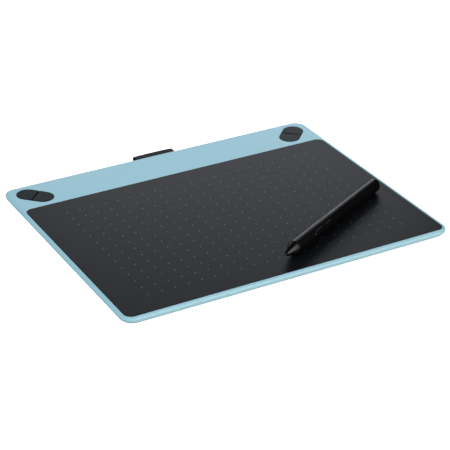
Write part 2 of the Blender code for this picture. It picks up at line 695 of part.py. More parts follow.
def loop_outlines():
    """The ribbon's section in (y, z): the outer line, and the gap that the pen goes through."""
    middle = (LOOP_LOW_Z + LOOP_HIGH_Z) / 2
    radius = (LOOP_HIGH_Z - LOOP_LOW_Z) / 2
    end = HALF_DEPTH + LOOP_OUT - radius
    start = 0.1060
    tail = RIBBON_THICKNESS
    outer = arc((end, middle), radius, -90, 90, 10)
    outer += [(start, middle + radius - 0.0002), (start - 0.0035, middle + tail),
              (0.0870, middle + tail), (0.0870, middle - tail),
              (start - 0.0035, middle - tail), (start, middle - radius + 0.0002)]
    inner_radius = radius - RIBBON_THICKNESS
    inner = arc((end, middle), inner_radius, -90, 90, 8)
    inner += [(start + 0.0006, middle + inner_radius - 0.0002), (start - 0.0018, middle),
              (start + 0.0006, middle - inner_radius + 0.0002)]
    return [outer, inner]


# ------------------------------------------------------------------ the pen
def pen_matrix(case_frame):
    """The pen's frame: it lies on the sheet on its grip and its tail, so it tips a little."""
    fall = (PEN_GRIP_RADIUS - PEN_TAIL_RADIUS) / (PEN_TAIL_AT - PEN_GRIP_AT)
    tilt = math.asin(fall)
    height = CASE_TOP_Z + FIT_GAP + PEN_GRIP_RADIUS + PEN_GRIP_AT * fall
    along = Vector((math.cos(PEN_HEADING) * math.cos(tilt),
                    math.sin(PEN_HEADING) * math.cos(tilt), -math.sin(tilt)))
    sideways = Vector((math.sin(PEN_HEADING), -math.cos(PEN_HEADING), 0.0))
    upward = sideways.cross(along)
    facing = upward * math.cos(PEN_ROLL) + sideways * math.sin(PEN_ROLL)
    across = along.cross(facing)
    turn = Matrix((facing, across, along)).transposed().to_4x4()
    tip = case_frame.matrix_world @ Vector((PEN_TIP_X, PEN_TIP_Y, height))
    return Matrix.Translation(tip) @ turn


def barrel_radius(t):
    """The barrel's outer radius at a distance from the nib's tip."""
    if t < PEN_GRIP_AT:
        share = (PEN_GRIP_AT - t) / (PEN_GRIP_AT - PEN_CONE_END)
        return PEN_GRIP_RADIUS - PEN_GRIP_WAIST * share * share
    share = (t - PEN_GRIP_AT) / (PEN_TAIL_AT - PEN_GRIP_AT)
    return PEN_GRIP_RADIUS + (PEN_TAIL_RADIUS - PEN_GRIP_RADIUS) * share ** 1.3


def build_pen_shells(frame):
    """Barrel, front cone and end cap."""
    start, stop, count = PEN_CONE_END + FIT_GAP, PEN_TAIL_AT - FIT_GAP, 9
    stations = [start + (stop - start) * i / count for i in range(count + 1)]
    outer = [(barrel_radius(t), t) for t in reversed(stations)]
    barrel = add_turned("pen_barrel", outer + [(PEN_BORE, start), (PEN_BORE, stop)], frame,
                        "pen_black", steps=28)
    slot = rocker_prism("rocker_slot", FIT_GAP + 0.0001, 0.0015, frame)
    combine(barrel, slot)

    base = barrel_radius(PEN_CONE_END) - PEN_CONE_STEP
    spigot, bore = PEN_BORE - FIT_GAP, 0.0024
    nib_hole, cone_inner = 0.00105, 0.0210
    cone = [(spigot, cone_inner), (spigot, PEN_CONE_END), (base, PEN_CONE_END)]
    cone += cone_line(base)
    cone += [(nib_hole, PEN_CONE_START), (nib_hole, 0.0090), (bore, 0.0095), (bore, cone_inner)]
    add_turned("pen_cone", cone, frame, "pen_black", steps=28)

    flat = PEN_TAIL_RADIUS - PEN_TAIL_ROUND
    corner = (flat, PEN_LENGTH - PEN_TAIL_DOME - PEN_TAIL_ROUND)
    tail = [(0.0, PEN_LENGTH), (0.6 * flat, PEN_LENGTH - 0.36 * PEN_TAIL_DOME)]
    tail += arc(corner, PEN_TAIL_ROUND, 90, 0, 4)
    plug_end = PEN_TAIL_AT - 0.0075
    tail += [(PEN_TAIL_RADIUS, PEN_TAIL_AT), (spigot, PEN_TAIL_AT), (spigot, plug_end),
             (0.0, plug_end)]
    add_turned("pen_end_cap", tail, frame, "pen_black", steps=28)


def cone_line(base):
    """The cone's side, bulging a little, from its base down to the hole for the nib."""
    line = []
    for share in (0.15, 0.35, 0.58, 0.80, 1.0):
        radius = base + (PEN_CONE_TIP_RADIUS - base) * share ** 1.15
        line.append((radius, PEN_CONE_END + (PEN_CONE_START - PEN_CONE_END) * share))
    return line


def rocker_prism(name, grow, low, frame, finish=None):
    """The side switch's outline, pushed out through the barrel's wall along the frame's +X."""
    outline = rounded_outline(ROCKER_LENGTH / 2 + grow, ROCKER_WIDTH / 2 + grow,
                              ROCKER_WIDTH / 2 + grow, steps=5)
    mesh = plate_mesh(name, [outline], low, 0.0080)
    mesh.transform(Matrix.Translation((0.0, 0.0, ROCKER_CENTRE))
                   @ Matrix.Rotation(math.radians(-90), 4, "Y")
                   @ Matrix.Scale(-1, 4, (0.0, 0.0, 1.0)))
    mesh.flip_normals()
    return add_object(name, mesh, frame, finish)


def build_side_switch(frame):
    """The rocking side switch: a strip of a tube that stands a little out of the barrel."""
    rocker = rocker_prism("side_switch", 0.0, 0.0020, frame, "pen_black")
    low, high = ROCKER_CENTRE - 0.016, ROCKER_CENTRE + 0.016
    outer, inner = PEN_GRIP_RADIUS + 0.0004, PEN_GRIP_RADIUS - 0.0019
    tube = add_turned("rocker_tube", [(outer, high), (outer, low), (inner, low), (inner, high)],
                      frame, steps=32)
    combine(rocker, tube, "INTERSECT")


def build_pen_inside(frame):
    """Nib and its holder, coil, force sensor, board and the side switch's contacts."""
    nib = [(0.0, 0.0075), (0.00075, 0.0075), (0.00075, 0.0008), (0.00055, 0.0002), (0.0, 0.0)]
    add_turned("pen_nib", nib, frame, "nib_black", steps=12)
    holder = [(0.0, 0.0300), (0.0008, 0.0300), (0.0008, 0.0078), (0.0, 0.0078)]
    add_turned("nib_holder", holder, frame, "connector_plastic", steps=12)
    coil = [(0.0021, 0.0285), (0.0021, 0.0098), (0.0011, 0.0098), (0.0011, 0.0285)]
    add_turned("pen_coil", coil, frame, "ferrite", steps=16)
    sensor = [(0.0, 0.0370), (0.0026, 0.0370), (0.0026, 0.0308), (0.0, 0.0308)]
    add_turned("force_sensor", sensor, frame, "plated_steel", steps=16)
    add_object("pen_board", box_mesh("pen_board", (-0.0014, -0.0026, 0.0385),
                                     (-0.0006, 0.0026, 0.1080)), frame, "circuit_board")
    contacts = add_object("side_switch_contacts",
                          box_mesh("side_switch_contacts",
                                   (-0.0003, -0.0018, ROCKER_CENTRE - 0.0105),
                                   (0.0005, 0.0018, ROCKER_CENTRE + 0.0105)), frame,
                          "chip_black")
    for number, t in enumerate((ROCKER_CENTRE - 0.0085, ROCKER_CENTRE + 0.0085)):
        dome = box_mesh(f"contact_dome_{number}", (0.0004, -0.0012, t - 0.0012),
                        (0.0016, 0.0012, t + 0.0012))
        combine(contacts, add_object(f"contact_dome_{number}", dome, frame), "UNION")


# ------------------------------------------------------------------ assembly
def build_tablet():
    clear_scene()
    # The loop stands out behind the case, so the case's middle is ahead of the whole outline's.
    case_frame = add_empty("case_frame", Matrix.Translation((0.0, -LOOP_OUT / 2, 0.0)))
    build_top_case(case_frame)
    build_bottom_case(case_frame)
    build_cover(case_frame)
    build_sheet(case_frame)
    build_sensor_layers(case_frame)
    build_main_board(case_frame)
    build_key_cable(case_frame)
    build_socket(case_frame)
    build_bay_contacts(case_frame)
    build_spares(case_frame)
    build_case_screws(case_frame)
    build_feet(case_frame)
    build_touch_switch(case_frame)
    build_loop(case_frame)
    for side, centre, angle in key_sides():
        build_key_board(side, centre, angle, case_frame)
        build_key(side, "rear", centre, angle, case_frame)
        build_key(side, "front", centre, angle + math.pi, case_frame)
    pen_frame = add_empty("pen_frame", pen_matrix(case_frame))
    build_pen_shells(pen_frame)
    build_pen_inside(pen_frame)
    build_side_switch(pen_frame)
    bpy.context.view_layer.update()


build_tablet()
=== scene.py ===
"""Looks of the pen drawing tablet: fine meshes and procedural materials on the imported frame."""
import json
import math

import bmesh
import bpy
from mathutils import Matrix, Vector


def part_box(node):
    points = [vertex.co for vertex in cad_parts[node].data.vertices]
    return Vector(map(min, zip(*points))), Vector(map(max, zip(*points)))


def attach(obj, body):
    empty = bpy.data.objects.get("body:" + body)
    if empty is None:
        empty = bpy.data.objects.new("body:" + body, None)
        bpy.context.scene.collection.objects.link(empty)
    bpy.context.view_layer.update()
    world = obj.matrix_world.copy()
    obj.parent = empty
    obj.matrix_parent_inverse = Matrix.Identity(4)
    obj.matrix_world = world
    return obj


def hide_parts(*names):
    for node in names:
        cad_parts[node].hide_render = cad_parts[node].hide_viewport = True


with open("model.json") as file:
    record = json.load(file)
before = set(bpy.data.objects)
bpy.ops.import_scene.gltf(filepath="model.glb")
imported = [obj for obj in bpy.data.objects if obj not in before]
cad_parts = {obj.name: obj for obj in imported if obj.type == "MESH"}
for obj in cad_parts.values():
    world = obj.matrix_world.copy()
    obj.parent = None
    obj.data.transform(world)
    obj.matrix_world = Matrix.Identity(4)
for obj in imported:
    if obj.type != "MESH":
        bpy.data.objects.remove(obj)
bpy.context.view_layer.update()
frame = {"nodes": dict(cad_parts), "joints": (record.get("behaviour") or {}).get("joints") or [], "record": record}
NODES = frame["nodes"]
JOINTS = {joint["name"]: joint for joint in frame["joints"]}

# ------------------------------------------------------------------ sizes, in metres
# The case's outline is centred on x = 0 and y = CASE_Y. The y places named below are measured
# from CASE_Y, except in DOT_CENTRE, the sheet's box and the camera.
CASE_LOW, CASE_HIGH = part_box("bottom_case")[0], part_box("top_case")[1]
HALF_WIDTH = CASE_HIGH.x
HALF_DEPTH = (CASE_HIGH.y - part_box("top_case")[0].y) / 2
CASE_Y = (CASE_HIGH.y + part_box("top_case")[0].y) / 2
TOP_Z = CASE_HIGH.z
BASE_Z = CASE_LOW.z
CORNER_RADIUS = 0.0095
WAIST_Z = 0.0084
UNDERCUT = 0.015
UNDERCUT_CORNER_SHARE = 0.3
RIM_WIDTH = 0.003
WALL = 0.0022
FIT_GAP = 0.0003
PARTING_Z = 0.0034
DECK_UNDER_Z = 0.0082
OPENING_GAP = 0.0004
CUT_ABOVE = 0.0004
CUT_BELOW = 0.001
OUTSIDE_X, OUTSIDE_Y = 0.1400, 0.1120

SHEET_LOW, SHEET_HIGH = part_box("drawing_sheet")
SHEET_RADIUS = 0.006
SHEET_EDGE = 0.00015
SEAT_GAP = 0.0002
SEAT_FLARE = 0.0002
DOT_COLUMNS, DOT_ROWS = 21, 14
DOT_PITCH_X, DOT_PITCH_Y = 0.0108, 0.01044
DOT_CENTRE = (0.00055, CASE_Y - 0.0166)
DOT_RADIUS = 0.00033
DOT_SOLID, DOT_FADED = DOT_RADIUS * 0.75, DOT_RADIUS * 1.2

KEY_CENTRE = (0.1173, 0.0890)
KEY_RADIUS = 0.0083
KEY_SPREAD = 0.0066
KEY_SLIT = 0.0008
KEY_PROUD = 0.0003
KEY_ANGLE = math.radians(45)
KEY_UNDER_Z = 0.0076
KEY_EDGE = 0.0005
KEY_OPENING_FLARE = 0.0003

LOOP_WIDTH = 0.0352
LOOP_OUT = 0.0106
LOOP_LOW_Z = 0.0037
LOOP_HIGH_Z = 0.0077
RIBBON_THICKNESS = 0.0008
RIBBON_SHRINK = 0.0001
RIBBON_PLY_GAP = 0.00004
RIBBON_START_Y = 0.0872
RIBBON_SPLIT_Y = 0.1025
RIBBON_OPEN_Y = 0.1060
RIBBON_SLOT_START_Y = 0.1000
LOOP_DRAWN_IN_START_Y = 0.1075
LOOP_DRAWN_IN_LENGTH = 0.0096
LOOP_NARROWING = 0.004
LOOP_CORNER_PULL = 0.0006
RIB_PITCH = 0.00075
WARP_PITCH = 0.00042

USB_Y = 0.068
USB_HALF_WIDTH = 0.00375
SOCKET_START_X = 0.1310
SOCKET_LOW_Z, SOCKET_HIGH_Z = 0.0048, 0.0080
TOUCH_SWITCH_X = 0.0805
SWITCH_SLOT_LEFT_X, SWITCH_SLOT_RIGHT_X = TOUCH_SWITCH_X - 0.0020, TOUCH_SWITCH_X + 0.0050
SWITCH_SLOT_START_Y = 0.1015
SWITCH_SLOT_LOW_Z, SWITCH_SLOT_HIGH_Z = 0.0053, 0.0071
FILM_LINE_PITCH = 0.0007

# Places along the pen are measured from the nib's tip, and depths in it from its axis.
PEN_LENGTH = 0.1366
PEN_NIB_RADIUS = 0.00075
PEN_NIB_ROUND = 0.0009
PEN_NIB_END = 0.0075
PEN_CONE_START = 0.0022
PEN_CONE_END = 0.0128
PEN_CONE_TIP_RADIUS = 0.0016
PEN_CONE_STEP = 0.0002
PEN_CONE_CURVE = 1.15
PEN_CONE_LIP = 0.00015
PEN_CONE_BASE_EDGE = 0.0001
PEN_CONE_BORE = 0.00105
PEN_CONE_BORE_END = 0.0090
PEN_CONE_CHAMBER_START = 0.0095
PEN_CONE_CHAMBER_RADIUS = 0.0024
PEN_SPIGOT_END = 0.0200
PEN_BARREL_EDGE = 0.0002
PEN_GRIP_RADIUS = 0.00573
PEN_GRIP_AT = 0.040
PEN_GRIP_WAIST = 0.0001
PEN_TAIL_RADIUS = 0.00547
PEN_TAIL_AT = 0.1291
PEN_TAIL_ROUND = 0.0016
PEN_TAIL_DOME = 0.0006
PEN_TAPER_CURVE = 1.3
PEN_BORE = 0.0036
PEN_CAP_SPIGOT_RADIUS = 0.0033
PEN_CAP_SPIGOT_LENGTH = 0.0070
ROCKER_CENTRE = 0.0480
ROCKER_LENGTH = 0.026
ROCKER_WIDTH = 0.0046
ROCKER_PIVOT = 0.0046
ROCKER_SLOT_LOW, ROCKER_SLOT_HIGH = 0.0015, 0.0080
ROCKER_UNDER_RADIUS = 0.0037
ROCKER_PROUD = 0.0004
ROCKER_ROUNDING = 0.0006
ROCKER_ROUNDING_SHARE = 0.8
ROCKER_DIP = 0.0003
ROCKER_DIP_REACH = 0.0035

FLOOR_HALF_WIDTH = 6.0
FLOOR_TOP_Z = -0.0001
FLOOR_UNDER_Z = -0.02
SAME_PLACE = 1e-7

# ------------------------------------------------------------------ camera and light
MATTE_FILL, GLOSSY_FILL = 0.62, 0.02
CAMERA = {"lens": 129.77, "distance": 1.22833, "azimuth": -29.993, "elevation": 28.950,
          "roll": 0.830, "target": (-0.01029, CASE_Y - 0.02247, 0.0100)}


def toward(azimuth, elevation):
    """Unit vector at an azimuth from -Y towards +X and an elevation, in degrees."""
    a, e = math.radians(azimuth), math.radians(elevation)
    return Vector((math.sin(a) * math.cos(e), -math.cos(a) * math.cos(e), math.sin(e)))


def place_camera():
    back = toward(CAMERA["azimuth"], CAMERA["elevation"])
    right = Vector((0.0, 0.0, 1.0)).cross(back).normalized()
    up = back.cross(right)
    roll = math.radians(CAMERA["roll"])
    turned_right = math.cos(roll) * right + math.sin(roll) * up
    turned_up = math.cos(roll) * up - math.sin(roll) * right
    data = bpy.data.cameras.new("camera")
    data.lens = CAMERA["lens"]
    data.sensor_width = 36.0
    data.clip_end = 20.0
    camera = bpy.data.objects.new("camera", data)
    turn = Matrix((turned_right, turned_up, back)).transposed().to_4x4()
    place = Vector(CAMERA["target"]) + CAMERA["distance"] * back
    camera.matrix_world = Matrix.Translation(place) @ turn
    bpy.context.scene.collection.objects.link(camera)
    bpy.context.scene.camera = camera


def add_area_light(name, azimuth, elevation, distance, size, power, colour=(1.0, 1.0, 1.0)):
    data = bpy.data.lights.new(name, "AREA")
    data.shape = "RECTANGLE"
    data.size, data.size_y = size
    data.energy = power
    data.color = colour
    light = bpy.data.objects.new(name, data)
    direction = toward(azimuth, elevation)
    light.location = direction * distance
    light.rotation_euler = direction.to_track_quat("Z", "Y").to_euler()
    bpy.context.scene.collection.objects.link(light)
    return light


def light_world():
    """White to the camera, a soft grey fill to matte surfaces, and almost dark in reflections."""
    world = bpy.data.worlds.new("studio")
    bpy.context.scene.world = world
    world.use_nodes = True
    nodes, links = world.node_tree.nodes, world.node_tree.links
    nodes.clear()
    paths = nodes.new("ShaderNodeLightPath")
    mixed = None
    strengths = ((MATTE_FILL, None), (GLOSSY_FILL, "Is Glossy Ray"), (1.0, "Is Camera Ray"))
    for strength, ray in strengths:
        background = nodes.new("ShaderNodeBackground")
        background.inputs["Color"].default_value = (1.0, 1.0, 1.0, 1.0)
        background.inputs["Strength"].default_value = strength
        if not ray:
            mixed = background.outputs[0]
            continue
        mix = nodes.new("ShaderNodeMixShader")
        links.new(paths.outputs[ray], mix.inputs[0])
        links.new(mixed, mix.inputs[1])
        links.new(background.outputs[0], mix.inputs[2])
        mixed = mix.outputs[0]
    links.new(mixed, nodes.new("ShaderNodeOutputWorld").inputs["Surface"])


def light_scene():
    """A low key light from behind on the right, and fills for matte or for glossy rays only."""
    light_world()
    add_area_light("key_light", azimuth=150, elevation=22, distance=0.65, size=(0.56, 0.22),
                   power=1.08, colour=(0.90, 0.94, 1.0))
    left = add_area_light("left_fill", azimuth=-75, elevation=40, distance=1.5, size=(0.9, 0.5),
                          power=8.5)
    left.visible_glossy = False
    soft = add_area_light("front_soft", azimuth=24, elevation=34, distance=1.1,
                          size=(0.56, 1.15), power=12.0)
    soft.visible_diffuse = False
    front = add_area_light("front_fill", azimuth=12, elevation=4, distance=1.5, size=(0.9, 0.3),
                           power=17.0, colour=(1.0, 0.76, 0.62))
    front.visible_glossy = False
    view = bpy.context.scene.view_settings
    view.view_transform = "Standard"
    view.look = "None"


# ------------------------------------------------------------------ materials
class Surface:
    """A Principled material whose colour, roughness and bump come from procedural nodes."""

    def __init__(self, name, metallic=0.0, **sockets):
        self.material = bpy.data.materials.new(name)
        self.material.use_nodes = True
        self.nodes = self.material.node_tree.nodes
        self.links = self.material.node_tree.links
        self.shader = self.nodes["Principled BSDF"]
        self.shader.inputs["Metallic"].default_value = metallic
        for socket, value in sockets.items():
            self.shader.inputs[socket.replace("_", " ")].default_value = value
        self.coordinates = self.nodes.new("ShaderNodeTexCoord").outputs["Object"]

    def use_uv(self):
        self.coordinates = self.nodes.new("ShaderNodeUVMap").outputs["UV"]

    def link(self, source, target):
        self.links.new(source, target)

    def stretched(self, scale):
        mapping = self.nodes.new("ShaderNodeMapping")
        mapping.inputs["Scale"].default_value = scale
        self.link(self.coordinates, mapping.inputs["Vector"])
        return mapping.outputs["Vector"]

    def noise(self, scale, detail=2.0, vector=None):
        node = self.nodes.new("ShaderNodeTexNoise")
        node.inputs["Scale"].default_value = scale
        node.inputs["Detail"].default_value = detail
        self.link(vector or self.coordinates, node.inputs["Vector"])
        return node.outputs["Fac"]

    def math(self, operation, first, second=None, third=None):
        node = self.nodes.new("ShaderNodeMath")
        node.operation = operation
        for number, value in enumerate((first, second, third)):
            if value is None:
                continue
            if isinstance(value, (int, float)):
                node.inputs[number].default_value = value
            else:
                self.link(value, node.inputs[number])
        return node.outputs[0]

    def spread(self, value, low, high, from_low=0.3, from_high=0.7):
        node = self.nodes.new("ShaderNodeMapRange")
        self.link(value, node.inputs["Value"])
        for socket, number in (("From Min", from_low), ("From Max", from_high),
                               ("To Min", low), ("To Max", high)):
            node.inputs[socket].default_value = number
        return node.outputs["Result"]

    def blend(self, factor, first, second):
        node = self.nodes.new("ShaderNodeMix")
        node.data_type = "RGBA"
        self.link(factor, node.inputs[0])
        for socket, value in ((6, first), (7, second)):
            if isinstance(value, tuple):
                node.inputs[socket].default_value = (*value, 1.0)
            else:
                self.link(value, node.inputs[socket])
        return node.outputs[2]

    def colour(self, value):
        self.link(value, self.shader.inputs["Base Color"])

    def roughness(self, value):
        self.link(value, self.shader.inputs["Roughness"])

    def stripes(self, axis, pitch):
        """Waves of a pitch across an axis, 0 between the stripes and 1 on them."""
        turn = self.math("MULTIPLY", axis, math.pi / pitch)
        return self.math("ABSOLUTE", self.math("SINE", turn))

    def bump(self, height, depth):
        node = self.nodes.new("ShaderNodeBump")
        node.inputs["Distance"].default_value = depth
        self.link(height, node.inputs["Height"])
        self.link(node.outputs["Normal"], self.shader.inputs["Normal"])


def shade(colour, factor):
    return tuple(min(1.0, channel * factor) for channel in colour)


def plastic(name, colour, roughness, grain=2600.0, depth=0.00002, variation=0.05, **sockets):
    """Moulded plastic: a fine etched grain, and slow drifts of colour and gloss."""
    surface = Surface(name, **sockets)
    drift = surface.noise(28.0, 3.0)
    surface.colour(surface.blend(drift, shade(colour, 1 - variation), shade(colour, 1 + variation)))
    etched = surface.noise(grain, 2.0)
    gloss = surface.math("ADD", surface.spread(etched, -0.03, 0.03),
                         surface.spread(drift, roughness - 0.03, roughness + 0.03))
    surface.roughness(gloss)
    surface.bump(etched, depth)
    return surface.material


def sheet_material():
    """The drawing surface: a matte, paper-like grain with a grid of small pale dots."""
    surface = Surface("sheet_surface", Specular_IOR_Level=0.15)
    parts = surface.nodes.new("ShaderNodeSeparateXYZ")
    surface.link(surface.coordinates, parts.inputs[0])
    distances, inside = [], []
    for axis, centre, pitch, count in (("X", DOT_CENTRE[0], DOT_PITCH_X, DOT_COLUMNS),
                                       ("Y", DOT_CENTRE[1], DOT_PITCH_Y, DOT_ROWS)):
        offset = surface.math("SUBTRACT", parts.outputs[axis], centre)
        shifted = surface.math("ADD", offset, 0.0 if count % 2 else pitch / 2)
        near = surface.math("WRAP", shifted, pitch / 2, -pitch / 2)
        distances.append(surface.math("POWER", surface.math("ABSOLUTE", near), 2.0))
        inside.append(surface.math("LESS_THAN", surface.math("ABSOLUTE", offset),
                                   pitch * count / 2))
    distance = surface.math("SQRT", surface.math("ADD", *distances))
    dot = surface.spread(distance, 1.0, 0.0, DOT_SOLID, DOT_FADED)
    dot = surface.math("MULTIPLY", dot, surface.math("MULTIPLY", *inside))
    drift = surface.noise(14.0, 3.0)
    grain = surface.noise(3800.0, 2.0)
    ground = surface.blend(drift, (0.0036, 0.0045, 0.0076), (0.0046, 0.0055, 0.0088))
    ground = surface.blend(surface.spread(grain, 0.0, 0.35), ground, (0.0076, 0.0088, 0.0130))
    surface.colour(surface.blend(dot, ground, (0.32, 0.32, 0.33)))
    surface.roughness(surface.spread(grain, 0.39, 0.51))
    surface.bump(grain, 0.000025)
    return surface.material


def ribbon_material():
    """Woven ribbon: close ribs across it, crossed by fine warp threads, with painted shade in the grooves between
    them.
    """
    surface = Surface("ribbon_weave", Sheen_Weight=0.06, Sheen_Roughness=0.5, Specular_IOR_Level=0.2)
    surface.use_uv()
    parts = surface.nodes.new("ShaderNodeSeparateXYZ")
    surface.link(surface.coordinates, parts.inputs[0])
    rib = surface.stripes(parts.outputs["Y"], RIB_PITCH)
    warp = surface.stripes(parts.outputs["X"], WARP_PITCH)
    height = surface.math("ADD", rib, surface.math("MULTIPLY", warp, 0.45))
    fuzz = surface.noise(5200.0, 2.0)
    # The colour follows the weave's height: the grooves are painted darker than the ribs, which is painted shade
    # in the grooves.
    surface.colour(surface.blend(surface.math("MULTIPLY", height, 0.69), (0.002, 0.0025, 0.003),
                                 (0.010, 0.012, 0.014)))
    surface.roughness(surface.spread(fuzz, 0.74, 0.92))
    surface.bump(surface.math("ADD", height, surface.math("MULTIPLY", fuzz, 0.4)), 0.00012)
    return surface.material


def steel_material(name, colour, roughness, stretch=(1.0, 12.0, 1.0)):
    """Drawn or rolled metal: fine lines along it and faint blotches of gloss."""
    surface = Surface(name, metallic=0.6)
    lines = surface.noise(900.0, 3.0, surface.stretched(stretch))
    drift = surface.noise(180.0, 2.0)
    surface.colour(surface.blend(drift, shade(colour, 0.88), shade(colour, 1.08)))
    surface.roughness(surface.spread(lines, roughness - 0.07, roughness + 0.09))
    surface.bump(lines, 0.00001)
    return surface.material


def board_material():
    """Printed circuit board: green mask over slightly lighter copper tracks."""
    surface = Surface("board_mask", Coat_Weight=0.2, Coat_Roughness=0.2)
    brick = surface.nodes.new("ShaderNodeTexBrick")
    for socket, value in (("Scale", 300.0), ("Mortar Size", 0.06), ("Brick Width", 1.6),
                          ("Row Height", 0.45)):
        brick.inputs[socket].default_value = value
    surface.link(surface.coordinates, brick.inputs["Vector"])
    tracks = surface.math("MULTIPLY", brick.outputs["Fac"],
                          surface.spread(surface.noise(60.0), 0.0, 1.0, 0.42, 0.52))
    surface.colour(surface.blend(tracks, (0.014, 0.085, 0.036), (0.035, 0.170, 0.070)))
    surface.roughness(surface.spread(surface.noise(700.0), 0.34, 0.48))
    surface.bump(tracks, 0.00003)
    return surface.material


def coil_material():
    """A ferrite core wound with lacquered copper wire."""
    surface = Surface("coil_winding")
    drift = surface.noise(900.0, 2.0)
    surface.colour(surface.blend(drift, (0.16, 0.05, 0.018), (0.30, 0.11, 0.040)))
    surface.roughness(surface.spread(drift, 0.28, 0.45))
    surface.bump(drift, 0.00004)
    return surface.material


def film_material():
    """Polyimide film with conductors showing through it."""
    surface = Surface("amber_film", Coat_Weight=0.3, Coat_Roughness=0.15)
    parts = surface.nodes.new("ShaderNodeSeparateXYZ")
    surface.link(surface.coordinates, parts.inputs[0])
    lines = surface.stripes(parts.outputs["Y"], FILM_LINE_PITCH)
    surface.colour(surface.blend(surface.spread(lines, 0.0, 1.0, 0.4, 0.6), (0.20, 0.085, 0.015),
                                 (0.42, 0.19, 0.045)))
    surface.roughness(surface.spread(surface.noise(400.0), 0.24, 0.36))
    surface.bump(lines, 0.00003)
    return surface.material


def make_materials():
    """One material for each slot of the record."""
    return {
        "blue_case": plastic("case_blue", (0.280, 0.530, 0.635), 0.52, grain=3000.0,
                             depth=0.000008, variation=0.02, Specular_IOR_Level=0.45),
        "dark_sheet": sheet_material(),
        "dark_underside": plastic("underside_dark", (0.030, 0.031, 0.034), 0.52, grain=1700.0,
                                  depth=0.00006),
        "key_grey": plastic("key_satin", (0.008, 0.013, 0.015), 0.55, grain=3200.0,
                            depth=0.00001, Specular_IOR_Level=0.16),
        "pen_black": plastic("pen_soft_black", (0.0010, 0.0010, 0.0012), 0.33, grain=4200.0,
                             depth=0.000006, variation=0.08, Specular_IOR_Level=0.28),
        "nib_black": plastic("nib_plastic", (0.014, 0.014, 0.014), 0.45, grain=4000.0,
                             depth=0.00001),
        "ribbon_black": ribbon_material(),
        "rubber": plastic("foot_rubber", (0.020, 0.020, 0.020), 0.78, grain=2200.0,
                          depth=0.00004, variation=0.12),
        "circuit_board": board_material(),
        "flex_film": film_material(),
        "chip_black": plastic("chip_resin", (0.012, 0.012, 0.013), 0.46, grain=5000.0,
                              depth=0.00003, variation=0.1),
        "connector_plastic": plastic("connector_ivory", (0.50, 0.48, 0.42), 0.48, grain=2600.0,
                                     depth=0.00001),
        "plated_steel": steel_material("plated_sheet", (0.56, 0.56, 0.55), 0.28),
        "screw_steel": steel_material("blackened_screw", (0.085, 0.085, 0.090), 0.34,
                                      (1.0, 1.0, 1.0)),
        "ferrite": coil_material(),
    }


def dress_cad_nodes(materials):
    """Give every CAD node the procedural material of its slot."""
    for piece in frame["record"]["subparts"]:
        obj = NODES[piece["node"]]
        obj.data.materials.clear()
        obj.data.materials.append(materials[piece["material_slot"]])


# ------------------------------------------------------------------ mesh helpers
def mesh_from(bm, name):
    mesh = bpy.data.meshes.new(name)
    bm.to_mesh(mesh)
    bm.free()
    return mesh


def arc(centre, radius, start, stop, steps):
    angles = [math.radians(start + (stop - start) * i / steps) for i in range(steps + 1)]
    return [(centre[0] + radius * math.cos(a), centre[1] + radius * math.sin(a)) for a in angles]


def turned_points(points, centre, angle):
    cos, sin = math.cos(angle), math.sin(angle)
    return [(centre[0] + x * cos - y * sin, centre[1] + x * sin + y * cos) for x, y in points]


def rounded_outline(half_x, half_y, radius, centre=(0.0, 0.0), angle=0.0, steps=16):
    """A rectangle with round corners, turned about its centre."""
    outline = []
    for quarter, (sign_x, sign_y) in enumerate(((1, 1), (-1, 1), (-1, -1), (1, -1))):
        middle = (sign_x * (half_x - radius), sign_y * (half_y - radius))
        for point in arc(middle, radius, 90 * quarter, 90 * quarter + 90, steps):
            if not outline or math.dist(point, outline[-1]) > SAME_PLACE:
                outline.append(point)
    if math.dist(outline[0], outline[-1]) < SAME_PLACE:
        outline.pop()
    return turned_points(outline, centre, angle)


def loft(name, rings):
    """A closed solid through rings of equal point counts, each (points, z), lowest first."""
    bm = bmesh.new()
    loops = [[bm.verts.new((x, y, z)) for x, y in points] for points, z in rings]
    count = len(loops[0])
    for lower, upper in zip(loops, loops[1:]):
        for i in range(count):
            j = (i + 1) % count
            bm.faces.new((lower[i], lower[j], upper[j], upper[i]))
    bm.faces.new(reversed(loops[0]))
    bm.faces.new(loops[-1])
    return mesh_from(bm, name)


def box(name, low, high):
    low, high = Vector(low), Vector(high)
    bm = bmesh.new()
    bmesh.ops.create_cube(bm, size=1.0)
    bmesh.ops.scale(bm, vec=high - low, verts=bm.verts)
    bmesh.ops.translate(bm, vec=(low + high) / 2, verts=bm.verts)
    return mesh_from(bm, name)


def lathe(name, profile, segments=72):
    """A solid turned about Z from (radius, z) points; it closes at the axis or on itself."""
    bm = bmesh.new()
    rings = []
    for radius, z in profile:
        if radius < SAME_PLACE:
            rings.append([bm.verts.new((0.0, 0.0, z))])
            continue
        rings.append([bm.verts.new((radius * math.cos(2 * math.pi * i / segments),
                                    radius * math.sin(2 * math.pi * i / segments), z))
                      for i in range(segments)])
    pairs = list(zip(rings, rings[1:]))
    if len(rings[0]) > 1:
        pairs.append((rings[-1], rings[0]))
    for first, second in pairs:
        for i in range(segments):
            j = (i + 1) % segments
            corners = [first[i % len(first)], first[j % len(first)],
                       second[j % len(second)], second[i % len(second)]]
            bm.faces.new(list(dict.fromkeys(corners)))
    bmesh.ops.recalc_face_normals(bm, faces=bm.faces)
    return mesh_from(bm, name)


def add_piece(name, mesh, material=None):
    obj = bpy.data.objects.new(name, mesh)
    bpy.context.scene.collection.objects.link(obj)
    if material:
        mesh.materials.append(material)
    return obj


